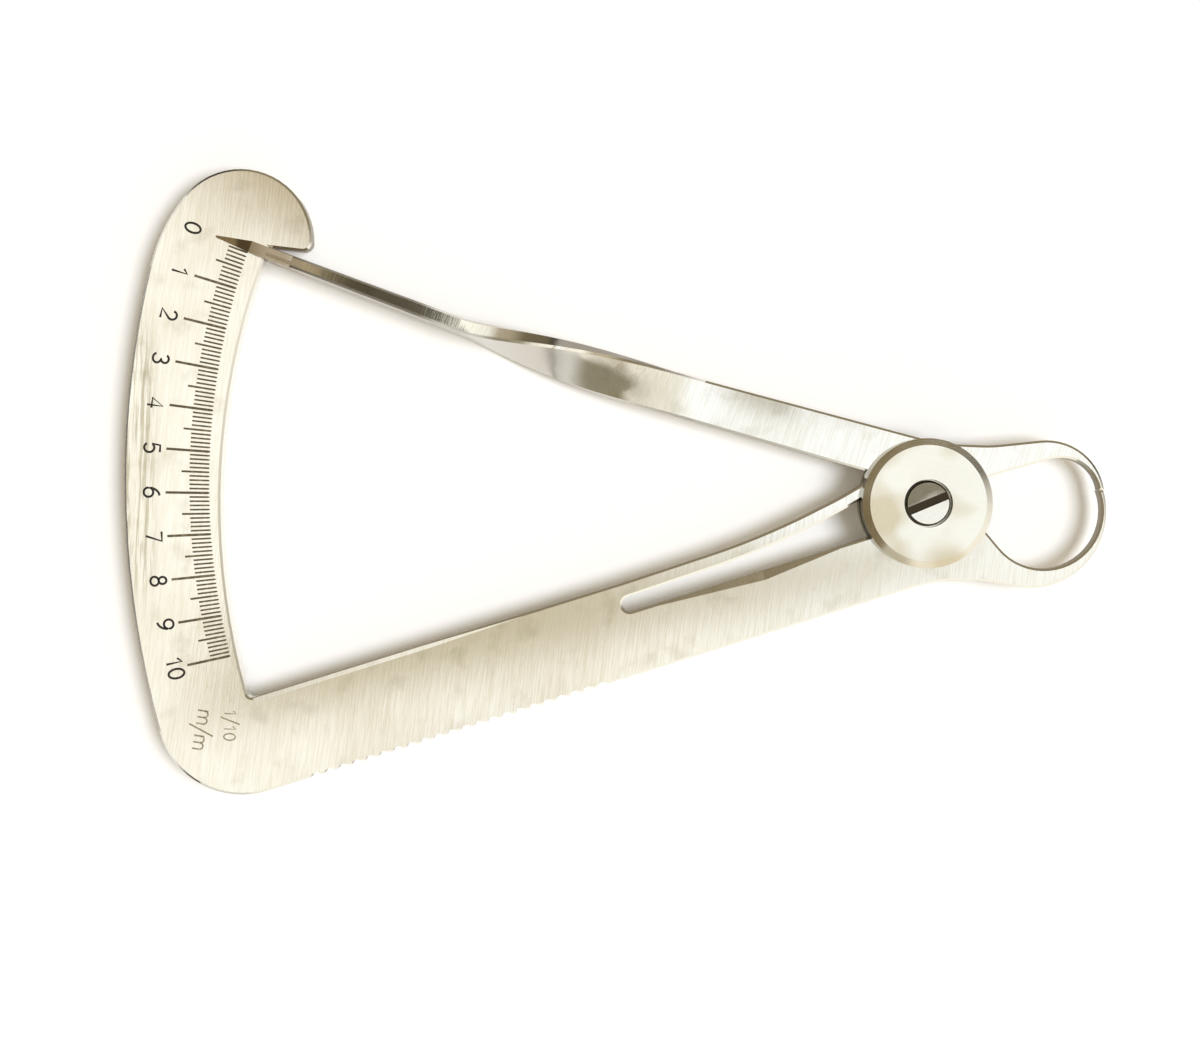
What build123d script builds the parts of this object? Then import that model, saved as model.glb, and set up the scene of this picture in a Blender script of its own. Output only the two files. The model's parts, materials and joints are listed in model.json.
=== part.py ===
from build123d import *

import os
from math import acos, asin, atan2, cos, degrees, hypot, radians, sin, sqrt

# Spring caliper for measuring thin work, such as a crown wall or a wire, in tenths of a millimetre.
# Sizes are millimetres. The pivot axis is the Z axis, and z = 0 is the outer face of the back disc.
# +X points to the jaws, +Y to the side of the pointer arm. Angles are in the plan, from +X, anticlockwise.

# Sheet blanks
plate_thickness = 1.6
edge_bevel = 0.22  # broken edges of both blanks: width on the face, and depth
edge_bevel_depth = 0.16
hub_clearance = 0.03  # play between the blanks and each hub disc
lap_clearance = 0.04  # play between the two half-lapped eyes
running_clearance = 0.04  # radial play of the pivot shank in the eyes
tip_clearance = 0.03  # between the closed jaw tips

# Hub
disc_radius = 6.45
front_disc_height = 2.15
front_disc_bevel = 0.68
front_disc_bevel_height = 0.55
back_disc_height = 1.52
back_disc_bevel = 0.4
eye_radius = 3.2
eye_gap = 0.15  # between an eye and the other blank's shoulder round it
shank_radius = 1.6
screw_head_radius = 2.2
screw_head_height = 1.0
screw_head_gap = 0.2  # round the head, in its counterbore
screw_head_recess = 0.15  # head below the disc's face
screw_head_bevel = 0.15
screw_slot_width = 0.8
screw_slot_depth = 0.55
screw_slot_angle = 22.6
screw_end_radius = 1.2
screw_end_recess = 0.1  # end above the back disc's face
screw_end_gap = 0.03

# Scale arc of the frame
scale_inner_radius = 70.5  # about the pivot
scale_width = 9.6  # of the arc's middle, straight behind the pivot
rim_centre = (11.8, 2.2)
heel_radius = 8.6  # outer corner below the scale
inner_corner_radius = 0.5

# Thumb lobe over the scale's zero end, rounded in two radii that flow out of the rim
shoulder_radius = 18.0
shoulder_start = 166.5
shoulder_end = 141.0
lobe_radius = 7.15
lobe_drop = 0.5  # fall of the lobe's underside from the zero stop to its corner
stop_gap = 0.08  # between the zero stop and the pointer
lobe_corner_radius = 0.9

# Handle arm of the frame
arm_top_angle = 17.2
arm_bottom_angle = 17.5
arm_bottom_offset = -7.7  # from the pivot, square to the edge
arm_bottom_end = -1.5  # where it turns towards the jaw, along the edge
arm_bevel = 0.5  # shallow facet along the upper edge, widest beside the scale
arm_bevel_depth = 0.12
arm_bevel_end = 34.0  # where it runs out, from the pivot
grip_notches = 22
grip_notch_pitch = 1.43
grip_notch_depth = 0.34
grip_notch_radius = 0.6
grip_start = 66.3  # first notch from the pivot, along the edge

# Leaf spring, a tongue slit from the handle arm
slot_angle = 17.4
slot_offset = -1.61
slot_end_radius = 0.78
slot_length = 31.2  # from the pivot to the centre of the slot's round end
slot_bevel = 0.95  # filed facet along the slot's far edge, and where it is widest
slot_bevel_depth = 0.42
slot_bevel_middle = 17.5  # from the pivot
slot_bevel_end = 7.5
bevel_fade = 0.05  # share of a facet's size that is left where it runs out
leaf_root_angle = 18.5
leaf_root_thickness = 1.45
leaf_knee_thickness = 1.38
leaf_tip_thickness = 1.2
leaf_straight = 9.0
leaf_tip = (-5.19, 1.87)  # centre of the round tip

# Jaws
upper_claw_centre = (12.2, 0.45)
upper_claw_radius = 5.82
upper_mouth_centre = (13.6, 0.65)
upper_mouth_radius = 3.87
upper_root = (6.15, 2.57)  # where the upper jaw comes out of the hub, inner edge
upper_waist = (6.6, 5.72)  # lowest point of its outer edge
lower_claw_centre = (10.5, -0.85)
lower_claw_radius = 7.68
lower_mouth_centre = (11.9, -0.8)
lower_mouth_radius = 5.8
lower_root = (5.86, -2.6)
lower_waist = (5.3, -7.68)
waist_radius = 14.0
tip_angle = 4.2  # direction of the closed tips from the pivot
root_turn = 40  # from a jaw's root, round the hub, to where its blank ends inside the eye

# Pointer arm
arm_slope = 15.3  # fall of its flat part towards the hub
arm_offset = 3.9  # of its middle from the pivot at the twist, square to the arm
arm_width = 4.25  # at the twist
arm_hub_offset = 3.82  # and the same beside the hub, where the arm is wider
arm_hub_width = 4.6
zero_angle = 159.4  # direction of the pointer at zero
twist_start = 24.4  # distances from the pivot, along the arm
twist_end = 49.7
twist_turn = 88.0
twist_lead = 0.85  # below 1, the turn is ahead of the bend
twist_sections = 11
strip_offset = 0.2  # middle of the upright strip, beside the line from the pivot to the needle's tip
strip_height = 4.4
strip_thickness = 1.45
strip_end_thickness = 1.15
strip_end_gap = 0.4  # before the scale's inner edge
nose_radius = 0.35  # rounded bearing nose on the leaf's tip
nose_gap = 0.02
heel_foot_radius = 0.5  # round foot of the heel that carries the nose
heel_inset = 0.7
needle_root = 3.0  # length laid on the end of the strip
needle_shoulder = 1.3  # reach over the scale at full width
needle_reach = 5.1
needle_width = 1.15
needle_tip_width = 0.18
needle_lift = 0.15  # above the scale
needle_height = 1.25
needle_tip_height = 0.45

plate_bottom = back_disc_height + hub_clearance
plate_middle = plate_bottom + plate_thickness / 2
plate_top = plate_bottom + plate_thickness
disc_bottom = plate_top + hub_clearance
disc_top = disc_bottom + front_disc_height
head_seat = disc_top - screw_head_recess - screw_head_height


def polar(radius, angle, centre=(0, 0)):
    return (centre[0] + radius * cos(radians(angle)), centre[1] + radius * sin(radians(angle)))


def on_edge(angle, offset, along):
    """Point on the straight line at this angle and this distance to the left of the pivot."""
    return polar(offset, angle + 90, polar(along, angle))


def along_edge(angle, point):
    """How far along, and how far to the left of the pivot, a point lies on a line at this angle."""
    return on_edge(-angle, point[1], point[0])


def towards(start, end):
    return degrees(atan2(end[1] - start[1], end[0] - start[0]))


def tangent_angle(point, centre, radius, side):
    """Direction from a circle's centre to where a line from the point touches it."""
    reach = hypot(point[0] - centre[0], point[1] - centre[1])
    return towards(centre, point) + side * degrees(acos(radius / reach))


def on_circle(angle, offset, centre, radius):
    """Far crossing, to the left, of a line at this angle with a circle."""
    middle, shift = along_edge(angle, centre)
    return on_edge(angle, offset, middle - sqrt(radius**2 - (offset - shift) ** 2))


# Leaf spring: root, knee and tip on its middle line
slot_end = on_edge(slot_angle, slot_offset + slot_end_radius, -slot_length)
leaf_root = polar(slot_end_radius + leaf_root_thickness / 2, leaf_root_angle + 90, slot_end)
leaf_knee = polar(leaf_straight, leaf_root_angle, leaf_root)
leaf_tip_angle = 2 * towards(leaf_knee, leaf_tip) - leaf_root_angle
root_top = polar(leaf_root_thickness / 2, leaf_root_angle + 90, leaf_root)
root_low = polar(slot_end_radius, leaf_root_angle + 90, slot_end)
knee_top = polar(leaf_knee_thickness / 2, leaf_root_angle + 90, leaf_knee)
knee_low = polar(leaf_knee_thickness / 2, leaf_root_angle - 90, leaf_knee)
tip_top = polar(leaf_tip_thickness / 2, leaf_tip_angle + 90, leaf_tip)
tip_end = polar(leaf_tip_thickness / 2, leaf_tip_angle, leaf_tip)
tip_low = polar(leaf_tip_thickness / 2, leaf_tip_angle - 90, leaf_tip)
slot_low = polar(slot_end_radius, slot_angle - 90, slot_end)
slot_mouth = on_edge(slot_angle, slot_offset, -sqrt(eye_radius**2 - slot_offset**2))

# Frame: corners of the scale arc, the lobe and the handle arm
arm_top_offset = along_edge(arm_top_angle, root_top)[1]
inner_corner = on_circle(arm_top_angle, arm_top_offset, (0, 0), scale_inner_radius)
inner_reach = along_edge(arm_top_angle, inner_corner)[0] + inner_corner_radius
stop_offset = strip_offset + strip_end_thickness / 2 + stop_gap
zero_stop = polar(scale_inner_radius, zero_angle - degrees(asin(stop_offset / scale_inner_radius)))
rim_radius = scale_inner_radius + scale_width + rim_centre[0]
shoulder_centre = polar(rim_radius - shoulder_radius, shoulder_start, rim_centre)
lobe_centre = polar(shoulder_radius - lobe_radius, shoulder_end, shoulder_centre)
lobe_end = degrees(asin((zero_stop[1] - lobe_drop - lobe_centre[1]) / lobe_radius))
lobe_corner = polar(lobe_radius, lobe_end, lobe_centre)
heel_corner = on_circle(arm_bottom_angle, arm_bottom_offset, rim_centre, rim_radius)
rim_end = towards(rim_centre, heel_corner) % 360

# Jaws: the tips close on one line through the pivot
lower_foot = on_edge(arm_bottom_angle, arm_bottom_offset, arm_bottom_end)
lower_claw_start = tangent_angle(lower_waist, lower_claw_centre, lower_claw_radius, 1)
lower_mouth_end = tangent_angle(lower_root, lower_mouth_centre, lower_mouth_radius, 1)
upper_claw_end = tangent_angle(upper_waist, upper_claw_centre, upper_claw_radius, -1)
upper_mouth_end = tangent_angle(upper_root, upper_mouth_centre, upper_mouth_radius, -1)
lower_tip = on_circle(tip_angle + 180, tip_clearance / 2, lower_claw_centre, lower_claw_radius)
lower_tip_inner = on_circle(tip_angle + 180, tip_clearance / 2, lower_mouth_centre, lower_mouth_radius)
upper_tip = on_circle(tip_angle + 180, -tip_clearance / 2, upper_claw_centre, upper_claw_radius)
upper_tip_inner = on_circle(tip_angle + 180, -tip_clearance / 2, upper_mouth_centre, upper_mouth_radius)


def break_edges(piece):
    """Bevel the outline of a blank's two faces, wider on the face than it is deep."""
    for face in piece.faces().filter_by(Axis.Z):
        chamfer(face.edges(), edge_bevel, edge_bevel_depth, reference=face)


def nearest(vertices, point):
    return min(vertices, key=lambda v: hypot(v.X - point[0], v.Y - point[1]))


# Frame blank with the leaf still on it: one closed outline, anticlockwise from the leaf's tip
with BuildPart() as blank:
    with BuildSketch(Plane.XY.offset(plate_bottom)) as blank_sketch:
        with BuildLine():
            TangentArc(knee_top, tip_top, tangent=Vector(*knee_top) - Vector(*root_top))
            Line(knee_top, root_top)
            Line(root_top, inner_corner)
            ThreePointArc(inner_corner, (-scale_inner_radius, 0), zero_stop)
            Line(zero_stop, lobe_corner)
            CenterArc(lobe_centre, lobe_radius, lobe_end, shoulder_end - lobe_end)
            CenterArc(shoulder_centre, shoulder_radius, shoulder_end, shoulder_start - shoulder_end)
            CenterArc(rim_centre, rim_radius, shoulder_start, rim_end - shoulder_start)
            Polyline(heel_corner, lower_foot, lower_waist)
            Line(lower_waist, polar(lower_claw_radius, lower_claw_start, lower_claw_centre))
            lower_tip_turn = (towards(lower_claw_centre, lower_tip) - lower_claw_start) % 360
            CenterArc(lower_claw_centre, lower_claw_radius, lower_claw_start, lower_tip_turn)
            Line(lower_tip, lower_tip_inner)
            lower_mouth_start = towards(lower_mouth_centre, lower_tip_inner)
            lower_mouth_turn = (lower_mouth_end - lower_mouth_start) % 360 - 360
            CenterArc(lower_mouth_centre, lower_mouth_radius, lower_mouth_start, lower_mouth_turn)
            Line(polar(lower_mouth_radius, lower_mouth_end, lower_mouth_centre), lower_root)
            hub_side = polar(eye_radius / 2, towards((0, 0), lower_root) + root_turn)
            Polyline(lower_root, hub_side, slot_mouth, slot_low)
            ThreePointArc(slot_low, polar(slot_end_radius, slot_angle + 180, slot_end), root_low)
            Line(root_low, knee_low)
            TangentArc(knee_low, tip_low, tangent=Vector(*knee_low) - Vector(*root_low))
            ThreePointArc(tip_low, tip_end, tip_top)
        make_face()
        fillet(nearest(blank_sketch.vertices(), heel_corner), heel_radius)
        fillet(nearest(blank_sketch.vertices(), inner_corner), inner_corner_radius)
        fillet(nearest(blank_sketch.vertices(), lobe_corner), lobe_corner_radius)
        fillet(nearest(blank_sketch.vertices(), lower_foot), waist_radius)
        fillet(nearest(blank_sketch.vertices(), lower_waist), waist_radius)
    extrude(amount=plate_thickness)
    break_edges(blank)

# The leaf is the tongue between the slit and its root; the two nodes meet face to face there
with BuildSketch(Plane.XY.offset(plate_bottom)) as tongue:
    with BuildLine():
        Polyline(
            slot_end,
            polar(slot_end_radius + 2 * leaf_root_thickness, leaf_root_angle + 90, slot_end),
            polar(2 * leaf_tip_thickness, leaf_tip_angle + 90, leaf_tip),
            polar(2 * leaf_tip_thickness, leaf_tip_angle, leaf_tip),
            polar(leaf_tip_thickness, leaf_tip_angle - 90, leaf_tip),
            polar(leaf_knee_thickness, leaf_root_angle - 90, leaf_knee),
            close=True,
        )
    make_face()

with BuildPart() as spring_leaf:
    add(blank.part)
    add(tongue.sketch)
    extrude(amount=plate_thickness, mode=Mode.INTERSECT)
spring_leaf.part.label = "spring_leaf"


def facet(angle, offset, width, depth, stations):
    """Cut a filed facet along a straight upper edge. A station is a distance from the pivot and a share."""
    sections = []
    for station, share in stations:
        facet_plane = Plane(
            origin=(*on_edge(angle, offset, -station), plate_top),
            x_dir=(*polar(1, angle + 90), 0),
            z_dir=(*polar(1, angle), 0),
        )
        with BuildSketch(facet_plane) as section:
            with BuildLine():
                Polyline(
                    (-width * share, 0),
                    (-width * share, plate_thickness),
                    (width, plate_thickness),
                    (width, -depth * share),
                    (0, -depth * share),
                    close=True,
                )
            make_face()
        sections.append(section.sketch.face())
    loft(sections=sections, ruled=True, mode=Mode.SUBTRACT)


grip_plane = Plane(
    origin=(*on_edge(arm_bottom_angle, arm_bottom_offset, -grip_start), plate_bottom),
    x_dir=(*polar(1, arm_bottom_angle), 0),
    z_dir=(0, 0, 1),
)
with BuildPart() as scale_frame:
    add(blank.part)
    add(tongue.sketch)
    extrude(amount=plate_thickness, mode=Mode.SUBTRACT)
    # finger grip: shallow notches along the handle arm
    with BuildSketch(grip_plane):
        with Locations(((grip_notches - 1) * grip_notch_pitch / 2, grip_notch_depth - grip_notch_radius)):
            with GridLocations(grip_notch_pitch, 1, grip_notches, 1):
                Circle(grip_notch_radius)
    extrude(amount=plate_thickness, mode=Mode.SUBTRACT)
    # facets filed along the slot and along the upper edge of the arm
    slot_facet = [(slot_length, bevel_fade), (slot_bevel_middle, 1), (slot_bevel_end, bevel_fade)]
    facet(slot_angle, slot_offset, slot_bevel, slot_bevel_depth, slot_facet)
    arm_facet = [(-inner_reach, 1), ((arm_bevel_end - inner_reach) / 2, 1), (arm_bevel_end, bevel_fade)]
    facet(arm_top_angle, arm_top_offset, arm_bevel, arm_bevel_depth, arm_facet)
    # half-lap eye: the pointer arm's eye turns on top of it
    with BuildSketch(Plane.XY.offset(plate_middle - lap_clearance / 2)):
        Circle(eye_radius + eye_gap)
    extrude(amount=plate_thickness, mode=Mode.SUBTRACT)
    with BuildSketch(Plane.XY.offset(plate_bottom)):
        Circle(eye_radius)
    extrude(amount=(plate_thickness - lap_clearance) / 2)
    with BuildSketch(Plane.XY.offset(plate_bottom)):
        Circle(shank_radius + running_clearance)
    extrude(amount=plate_thickness, mode=Mode.SUBTRACT)
scale_frame.part.label = "scale_frame"

# Pointer arm, from the hub outwards: flat blank with the upper jaw, quarter twist, upright strip, needle
strip_side = polar(strip_offset, zero_angle - 90)
strip_turn = zero_angle + arm_slope
bend_reach = (arm_offset - strip_offset * cos(radians(strip_turn))) / sin(radians(strip_turn))
bend = polar(bend_reach, zero_angle, strip_side)
twist_foot = on_edge(-arm_slope, arm_offset, -twist_start)
twist_head = polar(twist_end, zero_angle, strip_side)
foot_high = on_edge(-arm_slope, arm_offset + arm_width / 2, -twist_start)
foot_low = on_edge(-arm_slope, arm_offset - arm_width / 2, -twist_start)
hub_high = on_edge(-arm_slope, arm_hub_offset + arm_hub_width / 2, -disc_radius)
hub_low = on_edge(-arm_slope, arm_hub_offset - arm_hub_width / 2, -disc_radius)
high_edge = towards(foot_high, hub_high)
low_edge = towards(foot_low, hub_low)
arm_foot = polar(disc_radius, high_edge, hub_high)
nose_reach = leaf_tip_thickness / 2 + nose_gap + nose_radius
nose_centre = polar(nose_reach, leaf_tip_angle + 90, leaf_tip)


def twist_plane(share):
    """Cross-section plane at a share of the twist; its x axis runs across the width of the bar."""
    a, b, c = (1 - share) ** 2, 2 * share * (1 - share), share**2
    x = a * twist_foot[0] + b * bend[0] + c * twist_head[0]
    y = a * twist_foot[1] + b * bend[1] + c * twist_head[1]
    start = (bend[0] - twist_foot[0], bend[1] - twist_foot[1])
    end = (twist_head[0] - bend[0], twist_head[1] - bend[1])
    run = ((1 - share) * start[0] + share * end[0], (1 - share) * start[1] + share * end[1])
    side = polar(1, towards((0, 0), run) - 90)
    ahead = share**twist_lead
    turn = radians(twist_turn * ahead**2 * (3 - 2 * ahead))
    across = (side[0] * cos(turn), side[1] * cos(turn), sin(turn))
    return Plane(origin=(x, y, plate_middle), x_dir=across, z_dir=(*run, 0))


with BuildPart() as pointer_arm:
    with BuildSketch(Plane.XY.offset(plate_bottom)) as arm_sketch:
        with BuildLine():
            low_start = polar(-arm_width, low_edge, foot_low)
            high_start = polar(-arm_width, high_edge, foot_high)
            low_end = polar(disc_radius - eye_radius / 2, low_edge, hub_low)
            hub_side = polar(eye_radius / 2, towards((0, 0), upper_root) - root_turn)
            mouth_top = polar(upper_mouth_radius, upper_mouth_end, upper_mouth_centre)
            Polyline(low_start, low_end, hub_side, upper_root, mouth_top)
            upper_mouth_turn = towards(upper_mouth_centre, upper_tip_inner) - upper_mouth_end
            CenterArc(upper_mouth_centre, upper_mouth_radius, upper_mouth_end, upper_mouth_turn)
            Line(upper_tip_inner, upper_tip)
            upper_claw_begin = towards(upper_claw_centre, upper_tip)
            upper_claw_turn = upper_claw_end - upper_claw_begin
            CenterArc(upper_claw_centre, upper_claw_radius, upper_claw_begin, upper_claw_turn)
            claw_top = polar(upper_claw_radius, upper_claw_end, upper_claw_centre)
            Polyline(claw_top, upper_waist, arm_foot, high_start, low_start)
        make_face()
        fillet(nearest(arm_sketch.vertices(), arm_foot), waist_radius)
        fillet(nearest(arm_sketch.vertices(), upper_waist), waist_radius)
    extrude(amount=plate_thickness)
    break_edges(pointer_arm)
    split(bisect_by=twist_plane(0), keep=Keep.BOTTOM)
    # heel: its round nose bears on the tip of the leaf
    with BuildSketch(Plane.XY.offset(plate_bottom)):
        with Locations(nose_centre):
            Circle(nose_radius)
        with Locations(polar(heel_inset, low_edge + 90, polar(heel_inset, low_edge, hub_low))):
            Circle(heel_foot_radius)
        make_hull()
    extrude(amount=plate_thickness)
    # half-lap eye, over the frame's eye
    with BuildSketch(Plane.XY.offset(plate_bottom)):
        Circle(eye_radius + eye_gap)
    extrude(amount=(plate_thickness + lap_clearance) / 2, mode=Mode.SUBTRACT)
    with BuildSketch(Plane.XY.offset(plate_middle + lap_clearance / 2)):
        Circle(eye_radius)
    extrude(amount=(plate_thickness - lap_clearance) / 2)
    with BuildSketch(Plane.XY.offset(plate_bottom)):
        Circle(shank_radius + running_clearance)
    extrude(amount=plate_thickness, mode=Mode.SUBTRACT)
    # quarter twist, by which the bar ends up standing on edge
    for step in range(twist_sections):
        share = step / (twist_sections - 1)
        bar_width = arm_width + share * (strip_height - arm_width)
        bar_thickness = plate_thickness + share * (strip_thickness - plate_thickness)
        with BuildSketch(twist_plane(share)) as section:
            Rectangle(bar_width, bar_thickness)
            chamfer(section.vertices(), edge_bevel)
    loft()
    # upright strip, thinner towards the needle
    strip_length = scale_inner_radius - strip_end_gap - twist_end
    for reach, thickness in ((0, strip_thickness), (strip_length, strip_end_thickness)):
        with BuildSketch(twist_plane(1).offset(reach)) as section:
            Rectangle(strip_height, thickness)
            chamfer(section.vertices(), edge_bevel)
    loft(ruled=True)
    # needle over the scale, low and thin at its tip
    needle_stations = [
        (-needle_root, strip_offset, needle_width, needle_height),
        (needle_shoulder, strip_offset, needle_width, needle_height),
        (needle_reach, 0, needle_tip_width, needle_tip_height),
    ]
    for reach, shift, width, height in needle_stations:
        station = polar(scale_inner_radius + reach, zero_angle, polar(shift, zero_angle - 90))
        needle_plane = Plane(
            origin=(*station, plate_top + needle_lift + height / 2),
            x_dir=(*polar(1, zero_angle - 90), 0),
            z_dir=(*polar(1, zero_angle), 0),
        )
        with BuildSketch(needle_plane):
            Rectangle(width, height)
    loft(ruled=True)
pointer_arm.part.label = "pointer_arm"

# Hub: two turned discs on a slotted shoulder screw
with BuildPart() as front_disc:
    with BuildSketch(Plane.XZ):
        with BuildLine():
            Polyline(
                (shank_radius + running_clearance, disc_bottom),
                (disc_radius, disc_bottom),
                (disc_radius, disc_top - front_disc_bevel_height),
                (disc_radius - front_disc_bevel, disc_top),
                (screw_head_radius + screw_head_gap, disc_top),
                (screw_head_radius + screw_head_gap, head_seat),
                (shank_radius + running_clearance, head_seat),
                close=True,
            )
        make_face()
    revolve(axis=Axis.Z)
front_disc.part.label = "front_disc"

with BuildPart() as back_disc:
    with BuildSketch(Plane.XZ):
        with BuildLine():
            Polyline(
                (screw_end_radius + screw_end_gap, 0),
                (disc_radius - back_disc_bevel, 0),
                (disc_radius, back_disc_bevel),
                (disc_radius, back_disc_height),
                (screw_end_radius + screw_end_gap, back_disc_height),
                close=True,
            )
        make_face()
    revolve(axis=Axis.Z)
back_disc.part.label = "back_disc"

with BuildPart() as pivot_screw:
    head_top = head_seat + screw_head_height
    with BuildSketch(Plane.XZ):
        with BuildLine():
            Polyline(
                (0, screw_end_recess),
                (screw_end_radius - screw_head_bevel, screw_end_recess),
                (screw_end_radius, screw_end_recess + screw_head_bevel),
                (screw_end_radius, back_disc_height),
                (shank_radius, back_disc_height),
                (shank_radius, head_seat),
                (screw_head_radius, head_seat),
                (screw_head_radius, head_top - screw_head_bevel),
                (screw_head_radius - screw_head_bevel, head_top),
                (0, head_top),
                close=True,
            )
        make_face()
    revolve(axis=Axis.Z)
    with BuildSketch(Plane.XY.offset(head_top - screw_slot_depth)):
        Rectangle(2 * (screw_head_radius + screw_head_gap), screw_slot_width, rotation=screw_slot_angle)
    extrude(amount=screw_head_height, mode=Mode.SUBTRACT)
pivot_screw.part.label = "pivot_screw"

os.makedirs("parts", exist_ok=True)
for piece in (scale_frame, spring_leaf, pointer_arm, front_disc, back_disc, pivot_screw):
    export_step(piece.part, f"parts/{piece.part.label}.step")
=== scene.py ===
# %% [markdown]
# The looks of a spring caliper
#
# The caliper is two steel blanks on one pivot: a frame with a scale arc, and a long pointer whose needle
# stands over the scale. The CAD model gives every size and every joint. This script adds what CAD leaves
# out: the brushed and turned finishes, the engraving of the scale, and a leaf spring cut into short lengths.
# It could also be a scene file saved by hand, but a script can be read and run again after each CAD change.

# %% The CAD model as a fixed frame
import json
from math import atan2, cos, degrees, hypot, pi, radians, sin

import bmesh
import bpy
from mathutils import Matrix, Vector


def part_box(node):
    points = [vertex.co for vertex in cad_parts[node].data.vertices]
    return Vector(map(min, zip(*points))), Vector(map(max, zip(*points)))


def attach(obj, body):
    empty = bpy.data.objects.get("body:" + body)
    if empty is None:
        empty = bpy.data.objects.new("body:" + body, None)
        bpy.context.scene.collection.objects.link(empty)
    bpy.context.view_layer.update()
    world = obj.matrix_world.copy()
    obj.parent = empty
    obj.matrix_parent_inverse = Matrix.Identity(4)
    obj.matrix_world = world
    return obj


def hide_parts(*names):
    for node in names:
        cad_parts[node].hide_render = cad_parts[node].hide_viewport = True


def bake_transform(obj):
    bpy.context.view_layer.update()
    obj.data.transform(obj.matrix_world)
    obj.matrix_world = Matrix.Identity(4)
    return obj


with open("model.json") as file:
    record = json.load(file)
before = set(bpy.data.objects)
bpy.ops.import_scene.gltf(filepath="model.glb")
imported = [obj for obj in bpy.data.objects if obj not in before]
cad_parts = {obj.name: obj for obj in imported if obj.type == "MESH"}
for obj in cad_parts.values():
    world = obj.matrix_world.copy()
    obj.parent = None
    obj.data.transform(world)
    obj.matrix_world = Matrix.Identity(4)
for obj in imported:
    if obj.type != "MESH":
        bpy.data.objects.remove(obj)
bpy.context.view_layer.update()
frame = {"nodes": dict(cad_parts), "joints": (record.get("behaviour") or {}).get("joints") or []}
nodes = frame["nodes"]
mm = 0.001
print("nodes:", ", ".join(sorted(nodes)))

# %% [markdown]
# What the scale is measured from
#
# On the real caliper the graduations are cut with the frame turning about a point close to the pivot, so
# every line points at it. Here their places are read from the CAD meshes: the needle's tip gives the
# direction of zero, the joint's range gives the swing up to ten, and the arc's inner edge gives the radius.
# Typing the numbers in would be shorter, but the lines would no longer follow the part when it changes.

# %% Pivot, swing, zero direction and inner edge of the scale
joints = {joint["name"]: joint for joint in frame["joints"]}
swing = radians(joints["arm_pivot"]["range_deg"][1])
plate_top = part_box("scale_frame")[1].z
tip_slack = 0.05 * mm
face_slack = 0.01 * mm


def from_pivot(point):
    """Distance from the pivot axis, and direction in the plan."""
    return hypot(point.x, point.y), atan2(point.y, point.x) % (2 * pi)


pointer_points = [from_pivot(vertex.co) for vertex in nodes["pointer_arm"].data.vertices]
needle_reach = max(reach for reach, angle in pointer_points)
tip_angles = [angle for reach, angle in pointer_points if reach > needle_reach - tip_slack]
zero_angle = sum(tip_angles) / len(tip_angles)
plate_points = [vertex.co for vertex in nodes["scale_frame"].data.vertices]
face_points = [from_pivot(point) for point in plate_points if point.z > plate_top - face_slack]
inner_edge = min(reach for reach, angle in face_points if zero_angle < angle < zero_angle + swing)
print(f"zero at {degrees(zero_angle):.1f} degrees, swing {degrees(swing):.0f} degrees")
print(f"inner edge {inner_edge / mm:.1f} mm and needle's tip {needle_reach / mm:.1f} mm from the pivot")

# %% [markdown]
# Sums with shader sockets
#
# A finish is a small sum over noise patterns. Written node by node it is hard to read, so one small class
# holds a socket and lets Python's own signs add the Math nodes. Any other node comes from one method, which
# takes the node's type, its settings and the values or links of its sockets.


# %% One class for shader sums
class Wire:
    """An output socket that takes part in sums. Each sign adds one Math node to the tree."""

    def __init__(self, tree, socket=None):
        self.tree = tree
        self.socket = socket

    def node(self, kind, settings=None, sockets=None, output=0):
        """Any node: its type, its settings, the values or links of its sockets, and which output to take."""
        made = self.tree.nodes.new(kind)
        for name, value in (settings or {}).items():
            setattr(made, name, value)
        for name, value in (sockets or {}).items():
            self.feed(made.inputs[name], value)
        return Wire(self.tree, made.outputs[output])

    def feed(self, target, value):
        """Link a wire to an input, or set the input's own value."""
        if isinstance(value, Wire):
            self.tree.links.new(value.socket, target)
        else:
            target.default_value = value

    def maths(self, operation, first, second=0.0):
        return self.node("ShaderNodeMath", {"operation": operation}, {0: first, 1: second})

    def __add__(self, other):
        return self.maths("ADD", self, other)

    def __radd__(self, other):
        return self.maths("ADD", other, self)

    def __sub__(self, other):
        return self.maths("SUBTRACT", self, other)

    def __rsub__(self, other):
        return self.maths("SUBTRACT", other, self)

    def __mul__(self, other):
        return self.maths("MULTIPLY", self, other)

    def __rmul__(self, other):
        return self.maths("MULTIPLY", other, self)

    def __truediv__(self, other):
        return self.maths("DIVIDE", self, other)

    def __rtruediv__(self, other):
        return self.maths("DIVIDE", other, self)

    def __pow__(self, other):
        return self.maths("POWER", self, other)

    def __rpow__(self, other):
        return self.maths("POWER", other, self)

    def __abs__(self):
        return self.maths("ABSOLUTE", self)

    def between(self, low, high, easing="SMOOTHSTEP"):
        """0 below low and 1 above high, with a soft step from one to the other."""
        settings = {"interpolation_type": easing}
        return self.node("ShaderNodeMapRange", settings, {"Value": self, "From Min": low, "From Max": high})

    def parts(self):
        """The x, y and z of a vector."""
        return [self.node("ShaderNodeSeparateXYZ", sockets={0: self}, output=axis) for axis in "XYZ"]


# %% Colours, finishes and bumps
def blend_colours(share, first, second):
    """The first colour where share is 0, the second where it is 1."""
    sockets = {0: share, 6: first, 7: second}
    return share.node("ShaderNodeMix", {"data_type": "RGBA"}, sockets, output=2)


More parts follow.
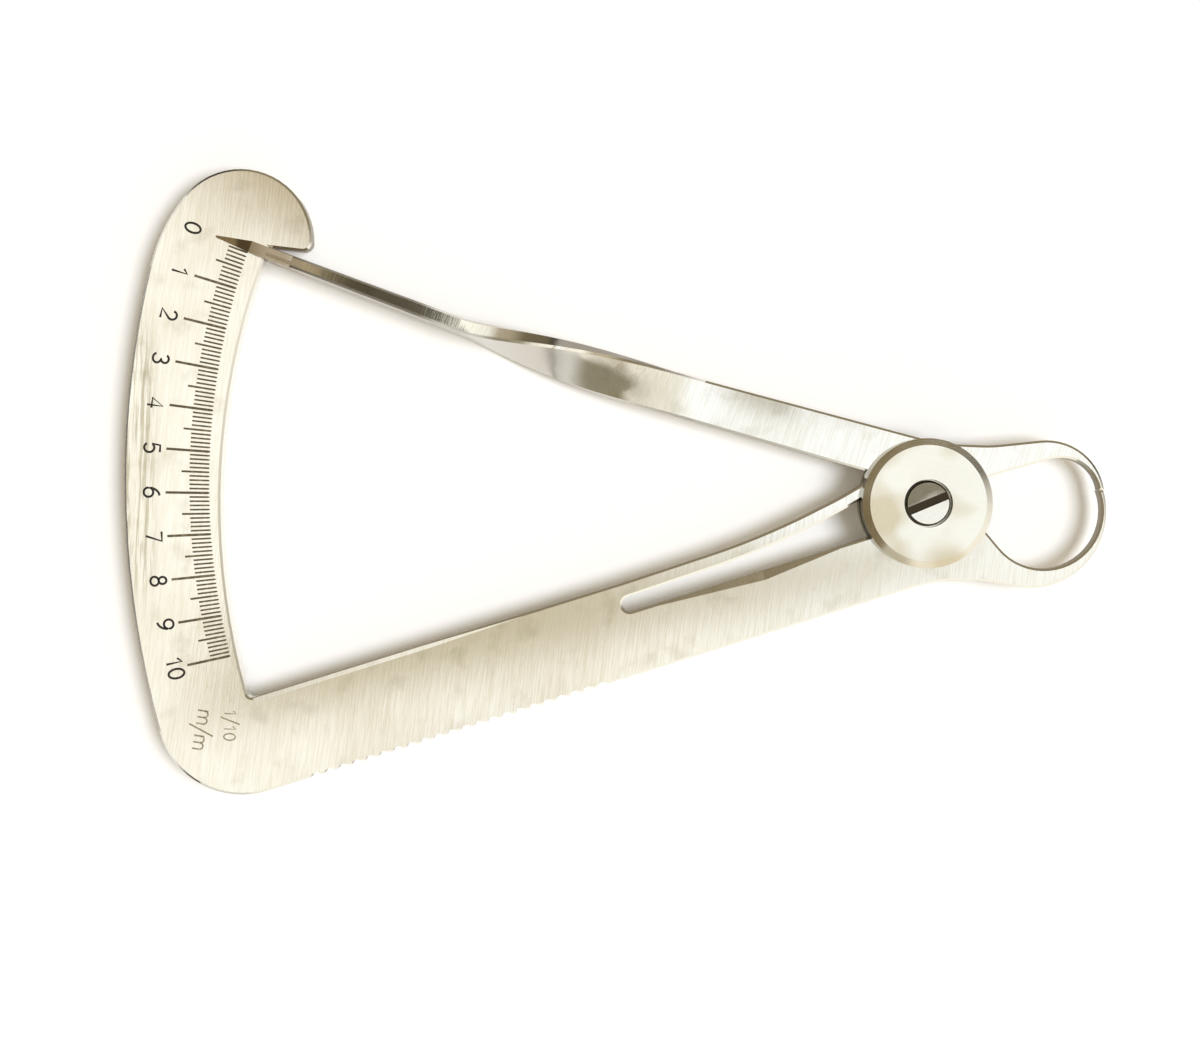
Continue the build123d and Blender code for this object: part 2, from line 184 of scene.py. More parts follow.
def new_finish(name, uniform):
    """A material, its shader and a wire to start sums from. Uniform values are set on the shader itself."""
    material = bpy.data.materials.new(name)
    material.use_nodes = True
    shader = material.node_tree.nodes["Principled BSDF"]
    for socket, value in uniform.items():
        shader.inputs[socket].default_value = value
    return material, shader, Wire(material.node_tree)


def raise_surface(start, shader, height, distance, strength=1.0):
    """Tilt the surface as if it stood this distance higher where the height pattern is 1."""
    bump = {"Strength": strength, "Distance": distance, "Height": height}
    start.feed(shader.inputs["Normal"], start.node("ShaderNodeBump", sockets=bump))


print("shader sums are ready")

# %% [markdown]
# Grain
#
# A belt drags its grit in one direction, so brushed steel has long fine lines. A noise pattern squeezed
# across the lines and stretched along them gives those: it moves the steel's colour a little, its roughness
# more, and a bump node tilts the surface across the lines only. That tilt is what spreads a reflection
# sideways on real brushed steel. An image texture would do the same, but it would need unwrapping and would
# look alike on every part.


# %% Noise patterns in the part's own millimetres
def plan_position(start):
    """Where a point of the part is, in metres, whatever the part's shape."""
    return start.node("ShaderNodeTexCoord", output="Object")


def streaks(start, angle, across, along, detail=3.0):
    """Long lines: across is their width and along their length, in metres, at this angle in the plan."""
    turning = {"Vector": plan_position(start), "Rotation": (0, 0, -angle)}
    turned = start.node("ShaderNodeMapping", {"vector_type": "POINT"}, turning)
    squeezing = {0: turned, 1: (1 / along, 1 / across, 1 / across)}
    squeezed = start.node("ShaderNodeVectorMath", {"operation": "MULTIPLY"}, squeezing)
    sockets = {"Vector": squeezed, "Scale": 1.0, "Detail": detail, "Roughness": 0.6}
    return start.node("ShaderNodeTexNoise", {"normalize": True}, sockets)


def clouds(start, size, detail=2.0):
    """Soft patches of this size, in metres, such as handling leaves on steel."""
    sockets = {"Vector": plan_position(start), "Scale": 1 / size, "Detail": detail, "Roughness": 0.5}
    return start.node("ShaderNodeTexNoise", {"normalize": True}, sockets)


# %% Which way the surface looks, and how far from the pivot it is
def normal_parts(start):
    """How far the surface looks to the right, to the back and up."""
    return start.node("ShaderNodeNewGeometry", output="Normal").parts()


def faces_up(start):
    """1 on flat faces, 0 on upright walls, and between them on bevels."""
    return abs(normal_parts(start)[2])


def axis_distance(start):
    """Distance from the pivot axis, in metres."""
    x, y, _ = plan_position(start).parts()
    return (x * x + y * y) ** 0.5


print("grain, clouds and faces are ready")

# %% [markdown]
# Brushed steel
#
# Both blanks and the leaf are sheet steel, brushed across the handle after the scale was cut. Their faces
# are a pale warm grey with darker lines and soft smudges. The upright walls are painted dark: painted shade.
# The broken edges between walls and faces are painted greyer than the faces, which is painted shade too, the
# scale's inner edge, which faces the window, is painted bright as painted light, and the band's outer edge
# is scratched where thumbs have held it. A painter would unwrap the mesh and paint all this by hand. Reading
# it from the surface's own slope and place needs no unwrapping.

# %% Colours of the sheet, painted shade and light on its edges, and wear of its band
steel_pale = (0.95, 0.95, 0.91, 1)
steel_warm = (0.82, 0.79, 0.69, 1)
# The colour of broken edges is painted shade.
steel_bevel_shade = (0.62, 0.6, 0.56, 1)
# The colour of upright walls is painted shade.
steel_wall_shade = (0.25, 0.215, 0.155, 1)
steel_smudge = (0.45, 0.41, 0.29, 1)
scratch_angle = radians(88)
scratch_width = 0.3 * mm
scratch_length = 6 * mm
wear_middle = 4 * mm  # how far behind the pivot's line the scratches are thickest


def rubbed_edge(start):
    """1 on the scale's inner edge, which faces the window and is painted bright as painted light, and 0
    elsewhere.
    """
    off_edge = abs(axis_distance(start) - inner_edge)
    return 1 - off_edge.between(0.8 * mm, 1.3 * mm)


def thumb_wear(start):
    """1 in the dark scratches along the band's outer edge, and 0 elsewhere."""
    x, y, _ = plan_position(start).parts()
    scratches = streaks(start, scratch_angle, scratch_width, scratch_length, detail=4.0).between(0.42, 0.58)
    beside_edge = 1 - x.between(-77.8 * mm, -76.3 * mm)
    return scratches * beside_edge * (1 - abs(y - wear_middle).between(8 * mm, 18 * mm))


print("scratches:", scratch_width / mm, "by", scratch_length / mm, "mm")

# %% Brushed steel with its grain, smudges, and painted shade on walls and bevels
grain_width = 0.14 * mm
grain_length = 3.0 * mm
grain_height = 0.0025 * mm
patch_size = 9 * mm
smudge_size = 2.8 * mm
noise_middle = (0.35, 0.7)  # the part of a noise pattern's range that makes its contrast


def brushed_steel(name, angle, depth=1.0, dullness=1.0, twist=None):
    """Sheet steel with its grain at this angle in the plan. Depth scales its height, dullness its blur."""
    material, shader, start = new_finish(name, {"Metallic": 1.0})
    fine = streaks(start, angle, grain_width, grain_length)
    coarse = streaks(start, angle + radians(4), 4 * grain_width, 2.2 * grain_length)
    patches = clouds(start, patch_size)
    up = faces_up(start)
    flat = up.between(0.8, 0.95)
    slope = 1 - up.between(0.6, 0.85)
    # Upright walls: their colour is painted shade, and they are duller.
    dull_and_shaded_edges = 1 - up.between(0.1, 0.3)
    shade = 0.6 * fine.between(*noise_middle) + 0.15 * coarse.between(0.4, 0.75)
    shade = shade + 0.35 * patches.between(*noise_middle)
    smudges = clouds(start, smudge_size, detail=4.0).between(0.52, 0.74)
    wear = (0.26 * smudges + 0.7 * thumb_wear(start)) * flat
    face = blend_colours(wear, blend_colours(shade * flat, steel_pale, steel_warm), steel_smudge)
    # Broken edges are painted greyer: painted shade.
    colour = blend_colours(slope, face, steel_bevel_shade)
    # The scale's inner edge gets pale steel in place of the wall's shade: painted light where it faces the
    # window.
    edge_colour = blend_colours(rubbed_edge(start), steel_wall_shade, steel_pale)
    film = haze = 0.0
    if twist:
        dull_and_shaded_edges, film, haze, root, needle = twist(start)
        heated = blend_colours(root, steel_heated, steel_root_shade)
        colour = blend_colours(film, colour, blend_colours(needle, heated, steel_needle))
        # On the pointer, all edges take the painted shade.
        edge_colour = steel_edge_shade
    # Walls and the pointer's edges take the edge colour: painted shade, with painted light on the scale's
    # inner edge.
    start.feed(shader.inputs["Base Color"], blend_colours(dull_and_shaded_edges * (1 - 0.4 * fine), colour, edge_colour))
    roughness = dullness * (0.05 + flat * (0.07 * fine + 0.03 * patches))
    roughness = roughness + 0.2 * slope + 0.1 * dull_and_shaded_edges + 0.12 * film + 0.2 * haze
    start.feed(shader.inputs["Roughness"], roughness)
    raise_surface(start, shader, (fine + 0.8 * coarse) * flat, grain_height * depth)
    return material


frame_grain = radians(82)
frame_steel = brushed_steel("brushed_steel_frame", frame_grain)
print("brushed steel:", frame_steel.name)

# %% [markdown]
# The pointer's own finish
#
# The pointer is flat at the hub and upright at the strip. Through the twist the sheet's sheared edge turns
# up, so no one direction tells the edge from the face. The direction of the sheet's face is therefore
# worked out from the place along the twist, and what looks away from it is edge. The edge and the strip's
# broken edges are painted dark: painted shade. Near the scale the strip was heated to draw the needle out:
# it has a brown film, and at the needle's root a darker colour that is painted shade, while the needle
# itself was cleaned again. A second material for each part would leave hard borders, where masks along the
# length run softly into each other.

# %% Edges and root of the pointer, with painted shade, and its film
# The first colour is painted shade on the pointer's edges.
steel_edge_shade = (0.17, 0.145, 0.105, 1)
steel_heated = (0.45, 0.39, 0.3, 1)
# This colour is painted shade at the needle's root.
steel_root_shade = (0.27, 0.215, 0.14, 1)
steel_needle = (0.7, 0.6, 0.42, 1)
twist_start = -22.5 * mm
twist_end = -46 * mm
twist_haste = 1.45  # above 1, the sheet turns late in the twist
strip_heading = radians(69)
film_end = -61 * mm
needle_root = -68.5 * mm
pointer_grain = radians(70)


def pointer_edges(start):
    """Masks along the pointer: its edges with painted shade, film, hazy flank of the twist, root with
    painted shade, and needle.
    """
    x = plan_position(start).parts()[0]
    turned = ((twist_start - x) / (twist_start - twist_end)).between(0, 1, "LINEAR") ** twist_haste
    turn = turned * (pi / 2)
    right, back, up = normal_parts(start)
    face_side = right * -cos(strip_heading) + back * -sin(strip_heading)
    sheet = abs(start.maths("SINE", turn) * face_side + start.maths("COSINE", turn) * up)
    # The strip's edges and bevels are where shade is painted.
    edge = (1 - sheet.between(0.2, 0.6)) * start.maths("COSINE", turn)
    bevel = abs(up).between(0.2, 0.5) * (1 - abs(up).between(0.85, 0.97))
    bevel = bevel * (1 - x.between(twist_end - 5 * mm, twist_end - 2 * mm))
    film = 1 - x.between(film_end - 3 * mm, film_end)
    # Darker towards the needle's root: painted shade.
    root = 1 - x.between(needle_root + 0.8 * mm, needle_root + 3.5 * mm)
    needle = 1 - x.between(needle_root - 0.4 * mm, needle_root + 0.2 * mm)
    haze = 1 - abs(x - twist_start + 4 * mm).between(1.5 * mm, 4 * mm)
    return edge + bevel, film, haze, root, needle


pointer_steel = brushed_steel("brushed_steel_pointer", pointer_grain, 0.5, 0.6, twist=pointer_edges)
print("brushed steel:", pointer_steel.name, "twisted from", twist_start / mm, "to", twist_end / mm, "mm")

# %% [markdown]
# Turned steel
#
# The hub discs and the screw come off a lathe, which leaves fine rings about the pivot. A wave pattern in
# rings gives the tool's marks, and noise keeps them from looking drawn. The rings only need the distance
# from the pivot, so they lie true on the faces, the bevels and the counterbore alike. Years of handling
# left brown patches, and the colour is painted darker towards one side as painted shade. The walls, the
# counterbore and the screw's slot are painted dark: painted shade.

# %% Turned steel with rings, patches, and painted shade on one side, on walls and in recesses
ring_pitch = 0.16 * mm
waves_per_scale = 20 / (2 * pi)  # the wave pattern's own number of rings in a metre, at a scale of one
ring_height = 0.0025 * mm
recess_shade_edge = 0.06 * mm
# The colour of painted shade on upright walls.
wall_shade_colour = (0.1, 0.085, 0.06, 1)
# The colour of painted shade in recesses.
recess_shade_colour = (0.05, 0.04, 0.025, 1)


def turned_steel(name, clean, stain_and_shade, shade_side, shade_within, shade_below):
    """Steel with tool rings and brown patches, and painted shade towards one side, on the walls and in the
    gaps by the axis.
    """
    material, shader, start = new_finish(name, {"Metallic": 1.0})
    position = plan_position(start)
    sockets = {"Vector": position, "Scale": 1 / (waves_per_scale * ring_pitch), "Distortion": 1.5}
    sockets |= {"Detail": 2.0, "Detail Scale": 3.0}
    settings = {"wave_type": "RINGS", "rings_direction": "Z", "wave_profile": "SAW"}
    rings = start.node("ShaderNodeTexWave", settings, sockets, output="Fac")
    patches = clouds(start, 4.5 * mm, detail=1.0)
    fine = clouds(start, 0.25 * mm, detail=4.0)
    dot_product = {"operation": "DOT_PRODUCT"}
    # Random brown patches, plus painted shade that grows towards one side.
    side_shade = start.node("ShaderNodeVectorMath", dot_product, {0: position, 1: shade_side}, "Value")
    film = (patches + side_shade).between(0.38, 0.7)
    shade = 0.1 * rings + 0.75 * film + 0.15 * fine
    # Upright walls are painted dark: painted shade.
    shaded_wall = 1 - faces_up(start).between(0.1, 0.4)
    # Inside the counterbore and the screw's slot the colour is painted dark: painted shade.
    inside = (shade_within - axis_distance(start)).between(-recess_shade_edge, recess_shade_edge)
    recess_shade = inside * (shade_below - position.parts()[2]).between(-recess_shade_edge, recess_shade_edge)
    colour = blend_colours(shaded_wall, blend_colours(shade, clean, stain_and_shade), wall_shade_colour)
    start.feed(shader.inputs["Base Color"], blend_colours(recess_shade, colour, recess_shade_colour))
    start.feed(shader.inputs["Roughness"], 0.12 + 0.05 * rings + 0.06 * patches)
    raise_surface(start, shader, rings + 0.6 * fine, ring_height)
    return material


print("rings every", ring_pitch / mm, "mm")

# %% Discs and screw, and a finish for every node
disc_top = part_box("front_disc")[1].z
head_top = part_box("pivot_screw")[1].z
# The second colour of each pair serves both stain and painted shade.
disc_colours = (0.96, 0.96, 0.9, 1), (0.66, 0.59, 0.42, 1)
# Radius and depth within which shade is painted in the recesses.
disc_recess_shade = 2.3 * mm, disc_top - 0.15 * mm
disc_steel = turned_steel("turned_steel_disc", *disc_colours, (-28, -12, 0), *disc_recess_shade)
screw_colours = (0.98, 0.97, 0.92, 1), (0.12, 0.095, 0.04, 1)
screw_recess_shade = 9 * mm, head_top - 0.2 * mm
screw_steel = turned_steel("turned_steel_screw", *screw_colours, (-120, 240, 0), *screw_recess_shade)
finishes = {
    "scale_frame": frame_steel,
    "spring_leaf": frame_steel,
    "pointer_arm": pointer_steel,
    "front_disc": disc_steel,
    "back_disc": disc_steel,
    "pivot_screw": screw_steel,
}
for node, material in finishes.items():
    nodes[node].data.materials.clear()
    nodes[node].data.materials.append(material)
print("finished nodes:", len(finishes))

# %% [markdown]
# The engraving
#
# The lines and numerals are shallow cuts filled with black. Each division is a tenth of a millimetre at the
# jaws, with a longer line at each half and the longest at each whole millimetre. They are thin solids let
# into the plate, so their outlines are sharp at any distance; painting them in the material would need a
# picture. The filling has sunk and worn unevenly, which breaks up its colour. The circle of the marks isn't
# quite about the pivot, so they stand a little further out at zero and a little further in at ten.

# %% Ink that fills the cuts
fill_depth = 0.06 * mm
fill_crown = 0.008 * mm


def engraving_ink(name, dark, worn):
    """Old ink in a cut: nearly black, with worn spots where the steel's colour comes through."""
    material, shader, start = new_finish(name, {"Metallic": 0.0})
    worn_spots = clouds(start, 0.5 * mm, detail=4.0).between(0.45, 0.75)
    start.feed(shader.inputs["Base Color"], blend_colours(worn_spots, dark, worn))
    start.feed(shader.inputs["Roughness"], 0.45 + 0.3 * worn_spots)
    raise_surface(start, shader, clouds(start, 0.12 * mm), 0.004 * mm, strength=0.6)
    return material


line_ink = engraving_ink("ink_lines", (0.08, 0.06, 0.03, 1), (0.2, 0.155, 0.085, 1))
numeral_ink = engraving_ink("ink_numerals", (0.012, 0.01, 0.008, 1), (0.05, 0.04, 0.025, 1))
faint_ink = engraving_ink("ink_faint", (0.26, 0.22, 0.13, 1), (0.5, 0.45, 0.3, 1))


def place_piece(name, mesh, material, body):
    """A new piece that rides on a body and takes the given material."""
    piece = bpy.data.objects.new(name, mesh)
    bpy.context.scene.collection.objects.link(piece)
    mesh.materials.clear()
    mesh.materials.append(material)
    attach(piece, body)
    return piece


print("ink:", line_ink.name, numeral_ink.name, faint_ink.name)

# %% Graduation lines
divisions = 100
line_start = inner_edge + 0.9 * mm
lengths = {10: 4.4 * mm, 5: 2.8 * mm, 1: 2.0 * mm}
widths = {10: 0.25 * mm, 5: 0.2 * mm, 1: 0.18 * mm}
out_at_zero = 0.6 * mm
in_at_ten = 0.5 * mm


def off_centre(share):
    """How far out the marks stand at this share of the scale."""
    return out_at_zero - (out_at_zero + in_at_ten) * share


def cut_line(mesh, angle, near, far, width):
    """One filled cut that points at the pivot, a little narrower where the cutter set in."""
    along = Vector((cos(angle), sin(angle), 0))
    across = Vector((-sin(angle), cos(angle), 0))
    outline = ((near, 0.3 * width), (near + width, width / 2), (far, width / 2))
    corners = []
    for level in (plate_top - fill_depth, plate_top + fill_crown):
        for reach, half in outline:
            for side in (-1, 1):
                place = along * reach + across * side * half + Vector((0, 0, level))
                corners.append(mesh.verts.new(place))
    for low, high in ((0, 2), (2, 4)):
        mesh.faces.new((corners[high + 6], corners[high + 7], corners[low + 7], corners[low + 6]))
        mesh.faces.new((corners[low], corners[low + 1], corners[high + 1], corners[high]))
        mesh.faces.new((corners[low], corners[high], corners[high + 6], corners[low + 6]))
        mesh.faces.new((corners[high + 1], corners[low + 1], corners[low + 7], corners[high + 7]))
    mesh.faces.new((corners[1], corners[0], corners[6], corners[7]))
    mesh.faces.new((corners[4], corners[5], corners[11], corners[10]))


cuts = bmesh.new()
for count in range(divisions + 1):
    step = max(size for size in lengths if count % size == 0)
    angle = zero_angle + swing * count / divisions
    near = line_start + off_centre(count / divisions)
    far = near + lengths[step]
    if count == 0:
        far = min(far, needle_reach)  # the first line ends under the needle's tip
    cut_line(cuts, angle, near, far, widths[step])
bmesh.ops.recalc_face_normals(cuts, faces=cuts.faces)
graduations = bpy.data.meshes.new("graduations")
cuts.to_mesh(graduations)
cuts.free()
place_piece("graduations", graduations, line_ink, "frame")
print("graduation lines:", divisions + 1)

# %% [markdown]
# Numerals and unit mark
#
# Numerals like these are cut by a pantograph: a round cutter follows one line for each stroke, so all
# strokes have the same width and round ends. A text font would be quicker, but its strokes swell and its
# one has no flag. So each figure is drawn here as the cutter's path, in lines and bows, and a round bevel
# on a curve gives the stroke its width. The figures stand with their heads towards the pivot. The unit mark
# below ten says that the numbers are millimetres and the small divisions tenths. It is cut more lightly.


# %% The cutter's paths, for figures one unit high
def bow(x, y, half_width, half_height, start, end):
    """Points on a bow about x, y, from one direction to another in degrees."""
    steps = max(3, round(abs(end - start) / 15))
    turns = [radians(start + (end - start) * step / steps) for step in range(steps + 1)]
    return [(x + half_width * cos(turn), y + half_height * sin(turn)) for turn in turns]


paths = {
    "0": [bow(0, 0, 0.29, 0.5, 0, 360)],
    "1": [[(-0.2, 0.24), (0.06, 0.5), (0.06, -0.5)]],
    "2": [bow(0, 0.21, 0.27, 0.29, 170, -40) + [(-0.3, -0.5), (0.3, -0.5)]],
    "3": [bow(-0.02, 0.26, 0.25, 0.24, 160, -90) + bow(-0.02, -0.24, 0.3, 0.26, 90, -160)[1:]],
    "4": [[(0.14, -0.5), (0.14, 0.5), (-0.32, -0.2), (0.32, -0.2)]],
    "5": [[(0.25, 0.5), (-0.18, 0.5), (-0.25, 0.03)] + bow(0, -0.18, 0.29, 0.32, 140, -150)],
    "6": [bow(0.25, -0.2, 0.54, 0.7, 95, 180) + bow(0, -0.2, 0.29, 0.3, 180, -180)[1:]],
    "7": [[(-0.3, 0.5), (0.3, 0.5), (-0.06, -0.5)]],
    "8": [bow(0, 0.26, 0.22, 0.24, 0, 360), bow(0, -0.24, 0.28, 0.26, 0, 360)],
    "m": [[(-0.44, -0.4), (-0.44, 0.3)]]
    + [bow(x, 0.06, 0.22, 0.24, 180, 0) + [(x + 0.22, -0.4)] for x in (-0.22, 0.22)],
    "/": [[(-0.3, -0.85), (0.3, 0.85)]],
}
paths["9"] = [[(-x, -y) for x, y in stroke] for stroke in paths["6"]]
usual_advance = 0.74
advance = {"m": 1.1, "/": 0.6}
print("figures:", " ".join(sorted(paths)))


# %% Strokes as flat solids
def engrave(name, text, height, stroke_width, centre, heading, ink):
    """Figures of this height about a point of the plate's face, read along the heading."""
    curve = bpy.data.curves.new(name, "CURVE")
    curve.dimensions = "3D"
    curve.bevel_depth = stroke_width / 2
    curve.bevel_resolution = 1
    curve.use_fill_caps = True
    steps = [advance.get(figure, usual_advance) * height for figure in text]
    pen = -sum(steps) / 2
    for figure, step in zip(text, steps):
        for stroke in paths[figure]:
            gap = hypot(stroke[0][0] - stroke[-1][0], stroke[0][1] - stroke[-1][1])
            closed = gap < 1e-6
            points = stroke[:-1] if closed else stroke
            spline = curve.splines.new("POLY")
            spline.points.add(len(points) - 1)
            spline.use_cyclic_u = closed
            for point, (x, y) in zip(spline.points, points):
                point.co = (pen + step / 2 + x * height, y * height, 0, 1)
        pen += step
    writer = bpy.data.objects.new(name + "_path", curve)
    mesh = bpy.data.meshes.new_from_object(writer)
    bpy.data.objects.remove(writer)
    flat = Matrix.Diagonal((1, 1, fill_crown / curve.bevel_depth, 1))
    place = Matrix.Translation((centre[0], centre[1], plate_top)) @ Matrix.Rotation(heading, 4, "Z")
    mesh.transform(place @ flat)
    place_piece(name, mesh, ink, "frame")


numbers = 11
numeral_height = 1.6 * mm
numeral_stroke = 0.23 * mm
numeral_reach = line_start + 5.8 * mm
numeral_drift = 1.3  # the numerals drift this much more than the lines
for number in range(numbers):
    share = number / (numbers - 1)
    angle = zero_angle + swing * share
    reach = numeral_reach + numeral_drift * off_centre(share)
    centre = (reach * cos(angle), reach * sin(angle))
    heading = angle + pi / 2
    engrave(f"numeral_{number}", str(number), numeral_height, numeral_stroke, centre, heading, numeral_ink)

unit_place = (-72.4 * mm, -22.7 * mm)
tenth_place = (-69.5 * mm, -22.2 * mm)
engrave("unit_mark", "m/m", 1.495 * mm, 0.16 * mm, unit_place, radians(-99), faint_ink)
engrave("unit_tenth", "1/10", 1.15 * mm, 0.14 * mm, tenth_place, radians(-92), faint_ink)
print("numerals:", numbers, "and unit marks: 2")

# %% [markdown]
# The leaf spring
#
# The leaf is a tongue of the frame: its root never moves and its tip is pushed down by the pointer's nose.
# The CAD model turns it stiffly about the slit's round end. Here a copy of its mesh is cut into many short
# lengths, and the tip of the copy is eased down by a hair, so that the nose doesn't cut into it at full
# opening. The copy takes the CAD leaf's place.

# %% A leaf cut into short lengths
leaf_stations = 60
leaf_low, leaf_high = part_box("spring_leaf")
leaf_cut = bmesh.new()
leaf_cut.from_mesh(nodes["spring_leaf"].data)
for station in range(1, leaf_stations):
    place = Vector((leaf_low.x + (leaf_high.x - leaf_low.x) * station / leaf_stations, 0, 0))
    everything = leaf_cut.verts[:] + leaf_cut.edges[:] + leaf_cut.faces[:]
    bmesh.ops.bisect_plane(leaf_cut, geom=everything, plane_co=place, plane_no=(1, 0, 0))
bent_leaf = bpy.data.meshes.new("bending_leaf")
leaf_cut.to_mesh(bent_leaf)
leaf_cut.free()
tip_ease = 0.06 * mm
ease_start = leaf_high.x - 6 * mm
ease_length = 2 * mm
for vertex in bent_leaf.vertices:
    past = (vertex.co.x - ease_start) / ease_length
    vertex.co.y -= tip_ease * min(max(past, 0), 1)

# %% The leaf in place of the CAD leaf
bent_leaf.materials.clear()
bent_leaf.materials.append(frame_steel)
leaf = bpy.data.objects.new("bending_leaf", bent_leaf)
bpy.context.scene.collection.objects.link(leaf)
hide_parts("spring_leaf")
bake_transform(leaf)

# %% [markdown]
# Table, room and window
#
# The caliper lies on a white table. Flat steel mirrors whatever is above it, so the room matters more than
# any lamp. Its ceiling is bright, and its walls are dark to the upper left and pale to the lower right.
# Somebody leans over the table with a phone, so hands, head and body stand before the ceiling as warm brown
# patches, and a beam darkens two small spots. A room of meshes would give the same reflections, but soft
# patches in the world are quicker to move until each reflection sits where it should. A broad window to the
# right gives the soft shadow. It is hidden from reflections, because the steel should mirror the room only.
# The table's colour stays below white, and a little glow that only the camera and mirrors see lifts it
# without more light on the steel.

# %% White table
table_half = 0.6
paper_dark = (0.88, 0.84, 0.765, 1)
paper_light = (0.9, 0.86, 0.785, 1)
paper_glow = 0.02
table = bpy.data.objects.new("table", bpy.data.meshes.new("table"))
table_points = [(table_half * x, table_half * y, 0) for x, y in ((-1, -1), (1, -1), (1, 1), (-1, 1))]
table.data.from_pydata(table_points, [], [(0, 1, 2, 3)])
bpy.context.scene.collection.objects.link(table)
uniform = {"Roughness": 0.9, "Specular IOR Level": 0.0}
paper, paper_shader, paper_start = new_finish("table_white", uniform)
paper_fibre = clouds(paper_start, 2 * mm, detail=5.0)
paper_colour = blend_colours(paper_fibre, paper_dark, paper_light)
paper_start.feed(paper_shader.inputs["Base Color"], paper_colour)
seen = paper_start.node("ShaderNodeLightPath", output="Is Camera Ray")
for ray in ("Is Glossy Ray", "Is Transmission Ray"):
    seen = seen + paper_start.node("ShaderNodeLightPath", output=ray)
plain = Wire(paper_start.tree, paper_shader.outputs["BSDF"])
glow = paper_start.node("ShaderNodeEmission", sockets={"Color": (1, 1, 1, 1), "Strength": paper_glow})
glowing = paper_start.node("ShaderNodeAddShader", sockets={0: glow, 1: plain})
both = paper_start.node("ShaderNodeMixShader", sockets={0: seen.between(0, 1), 1: plain, 2: glowing})
paper_start.feed(paper_start.tree.nodes["Material Output"].inputs["Surface"], both)
table.data.materials.append(paper)
print("table:", 2 * table_half, "m wide")

# %% Directions in the room
room = bpy.data.worlds.new("room")
bpy.context.scene.world = room
room.use_nodes = True
room_start = Wire(room.node_tree)
right, back, up = room_start.node("ShaderNodeTexCoord", output="Generated").parts()
lift = room_start.maths("MAXIMUM", up, 0.15)
across = right / lift
upward = back / lift


def overhead(centre, turn, half_length, half_width):
    """1 inside a soft patch and 0 outside. Its places are tangents of the angle from straight up."""
    x = across - centre[0]
    y = upward - centre[1]
    along = (x * cos(turn) + y * sin(turn)) / half_length
    beside = (y * cos(turn) - x * sin(turn)) / half_width
    return 1 - (along ** 4 + beside ** 2).between(0.3, 2.0)


def left_of(place, heading, soft):
    """1 to the left of a line through this place with this heading, 0 to the right, with a soft edge."""
    distance = (upward - place[1]) * cos(heading) - (across - place[0]) * sin(heading)
    return distance.between(-soft, soft)


print("directions are ready")

# %% Ceiling, walls and horizon
window_side = (right * 0.6 - back * 0.8).between(0.1, 0.9)
lit_wall = (right + 0.2).between(0, 0.3) * up.between(0.5, 0.75)
far_walls = blend_colours(lit_wall, (0.27, 0.22, 0.14, 1), (0.6, 0.52, 0.38, 1))
walls = blend_colours(window_side, far_walls, (1.08, 1.02, 0.9, 1))
ceiling = (1.17, 1.13, 1.03, 1)
sky = blend_colours(up.between(0.82, 0.93), walls, ceiling)
ceiling_lamp = overhead((0.13, 0.0), 0, 0.22, 0.08)
sky = blend_colours(ceiling_lamp, sky, (1.15, 1.17, 1.18, 1))
horizon = blend_colours(window_side, (0.05, 0.04, 0.03, 1), (1.0, 0.95, 0.84, 1))
sky = blend_colours(up.between(0.06, 0.16), horizon, sky)
print("room: ceiling, lamp, walls and horizon")

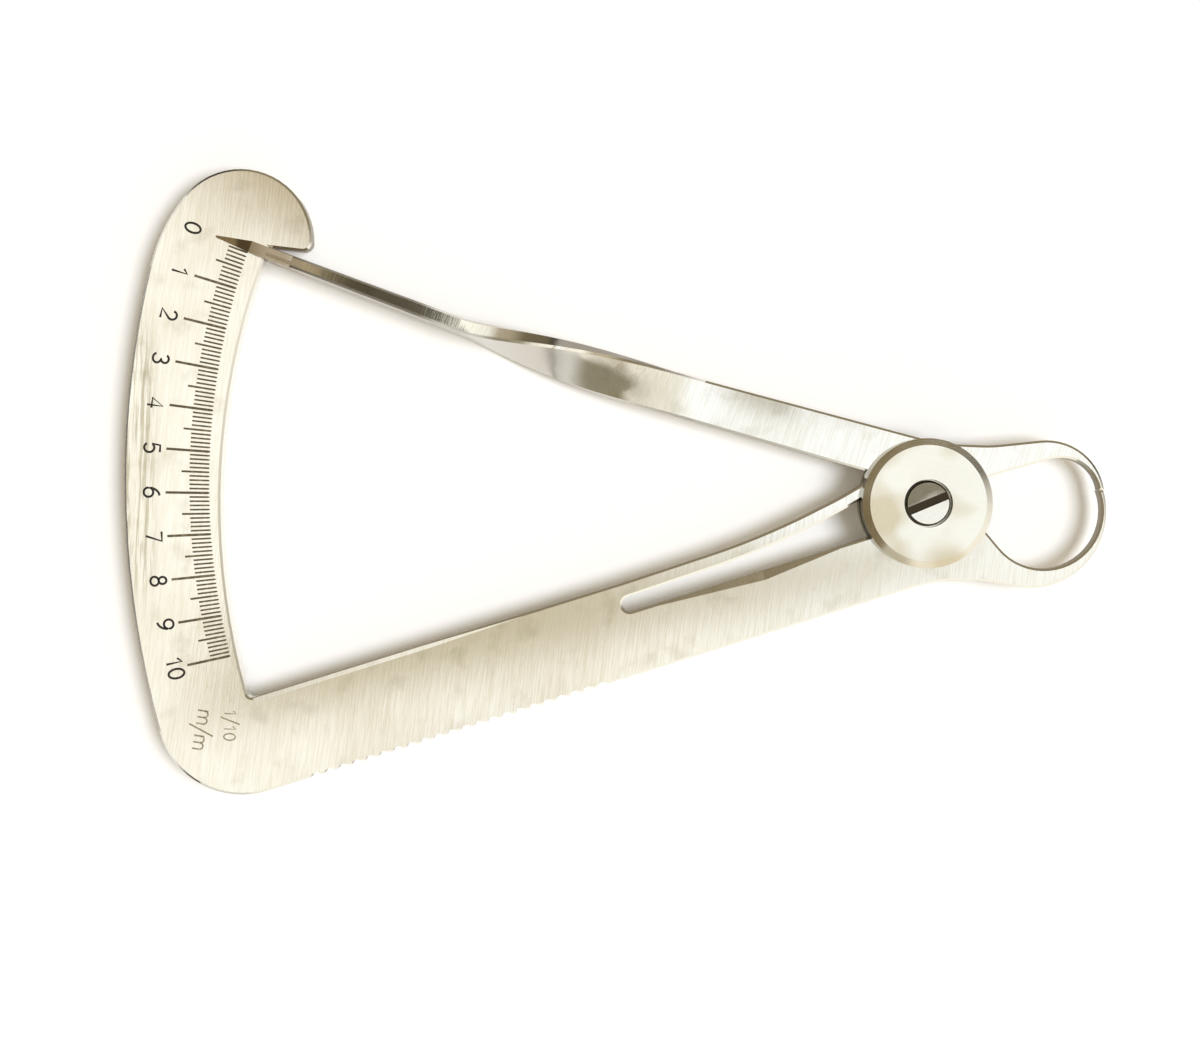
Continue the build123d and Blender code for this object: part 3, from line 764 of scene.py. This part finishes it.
# %% What stands before the ceiling
hands = left_of((-0.055, -0.104), radians(12.5), 0.008) * left_of((0.06, -0.045), radians(184), 0.008)
hands = hands * left_of((-0.268, -0.13), radians(240), 0.018) * left_of((0.19, -0.05), radians(100), 0.03)
head = overhead((-0.203, 0.217), radians(-32), 0.1, 0.062)
phone = overhead((-0.135, 0.185), radians(-22), 0.045, 0.045)
beam_turn = radians(-18)
beam = overhead((0.07, 0.05), beam_turn, 0.022, 0.0075)
beam = beam + 0.5 * overhead((0.117, 0.041), beam_turn, 0.012, 0.006)
towards = -0.4 * across - 0.92 * upward
sideways = abs(0.92 * across - 0.4 * upward)
shoulders = 1 - (sideways - 0.25 * towards).between(-0.12, 0.1)
body = left_of((0, -0.135), radians(196.7), 0.02) * shoulders
body_colour = blend_colours(up.between(0.2, 0.55), (0.75, 0.72, 0.66, 1), (0.3, 0.27, 0.19, 1))
patches = [
    (body, body_colour),
    (hands, (0.56, 0.48, 0.32, 1)),
    (head, (0.55, 0.44, 0.27, 1)),
    (phone, (0.085, 0.07, 0.045, 1)),
    (beam, (0.5, 0.45, 0.36, 1)),
]
for share, colour in patches:
    sky = blend_colours(share, sky, colour)
background = room.node_tree.nodes["Background"]
room_start.feed(background.inputs["Color"], sky)
background.inputs["Strength"].default_value = 0.96
print("patches before the ceiling:", len(patches))

# %% Window to the right
window_light = bpy.data.lights.new("window", "SUN")
window_light.energy = 2.5
window_light.angle = radians(27)
window_light.color = (0.93, 1.02, 1.2)
window = bpy.data.objects.new("window", window_light)
window_place = Vector((0.62, -0.08, 1.0))
window.rotation_euler = window_place.to_track_quat("Z", "Y").to_euler()
window.visible_glossy = False
bpy.context.scene.collection.objects.link(window)
print("window from", tuple(round(v, 2) for v in window_place))

# %% [markdown]
# The camera
#
# The photograph was taken from straight above and close by, so the tops of the discs spread outwards a
# little. The camera's place is where the walls of the hub stop showing, and its height is how much the
# discs spread. The picture's middle isn't below the lens, which the lens shift says.

# %% Straight down, close by
view_width = 120 * mm
view_height = 163 * mm
below_lens = Vector((-27.5 * mm, 2.3 * mm))
picture_middle = Vector((-32.5 * mm, -2.6 * mm))
camera_data = bpy.data.cameras.new("camera")
camera_data.sensor_width = 36
camera_data.lens = camera_data.sensor_width * view_height / view_width
camera_data.shift_x = (picture_middle.x - below_lens.x) / view_width
camera_data.shift_y = (picture_middle.y - below_lens.y) / view_width
camera_data.clip_start = 5 * mm
camera = bpy.data.objects.new("camera", camera_data)
camera.location = (below_lens.x, below_lens.y, plate_top + view_height)
bpy.context.scene.collection.objects.link(camera)
bpy.context.scene.camera = camera
bpy.context.scene.view_settings.view_transform = "Standard"
print(f"camera {camera.location.z / mm:.0f} mm up, lens {camera_data.lens:.1f} mm")
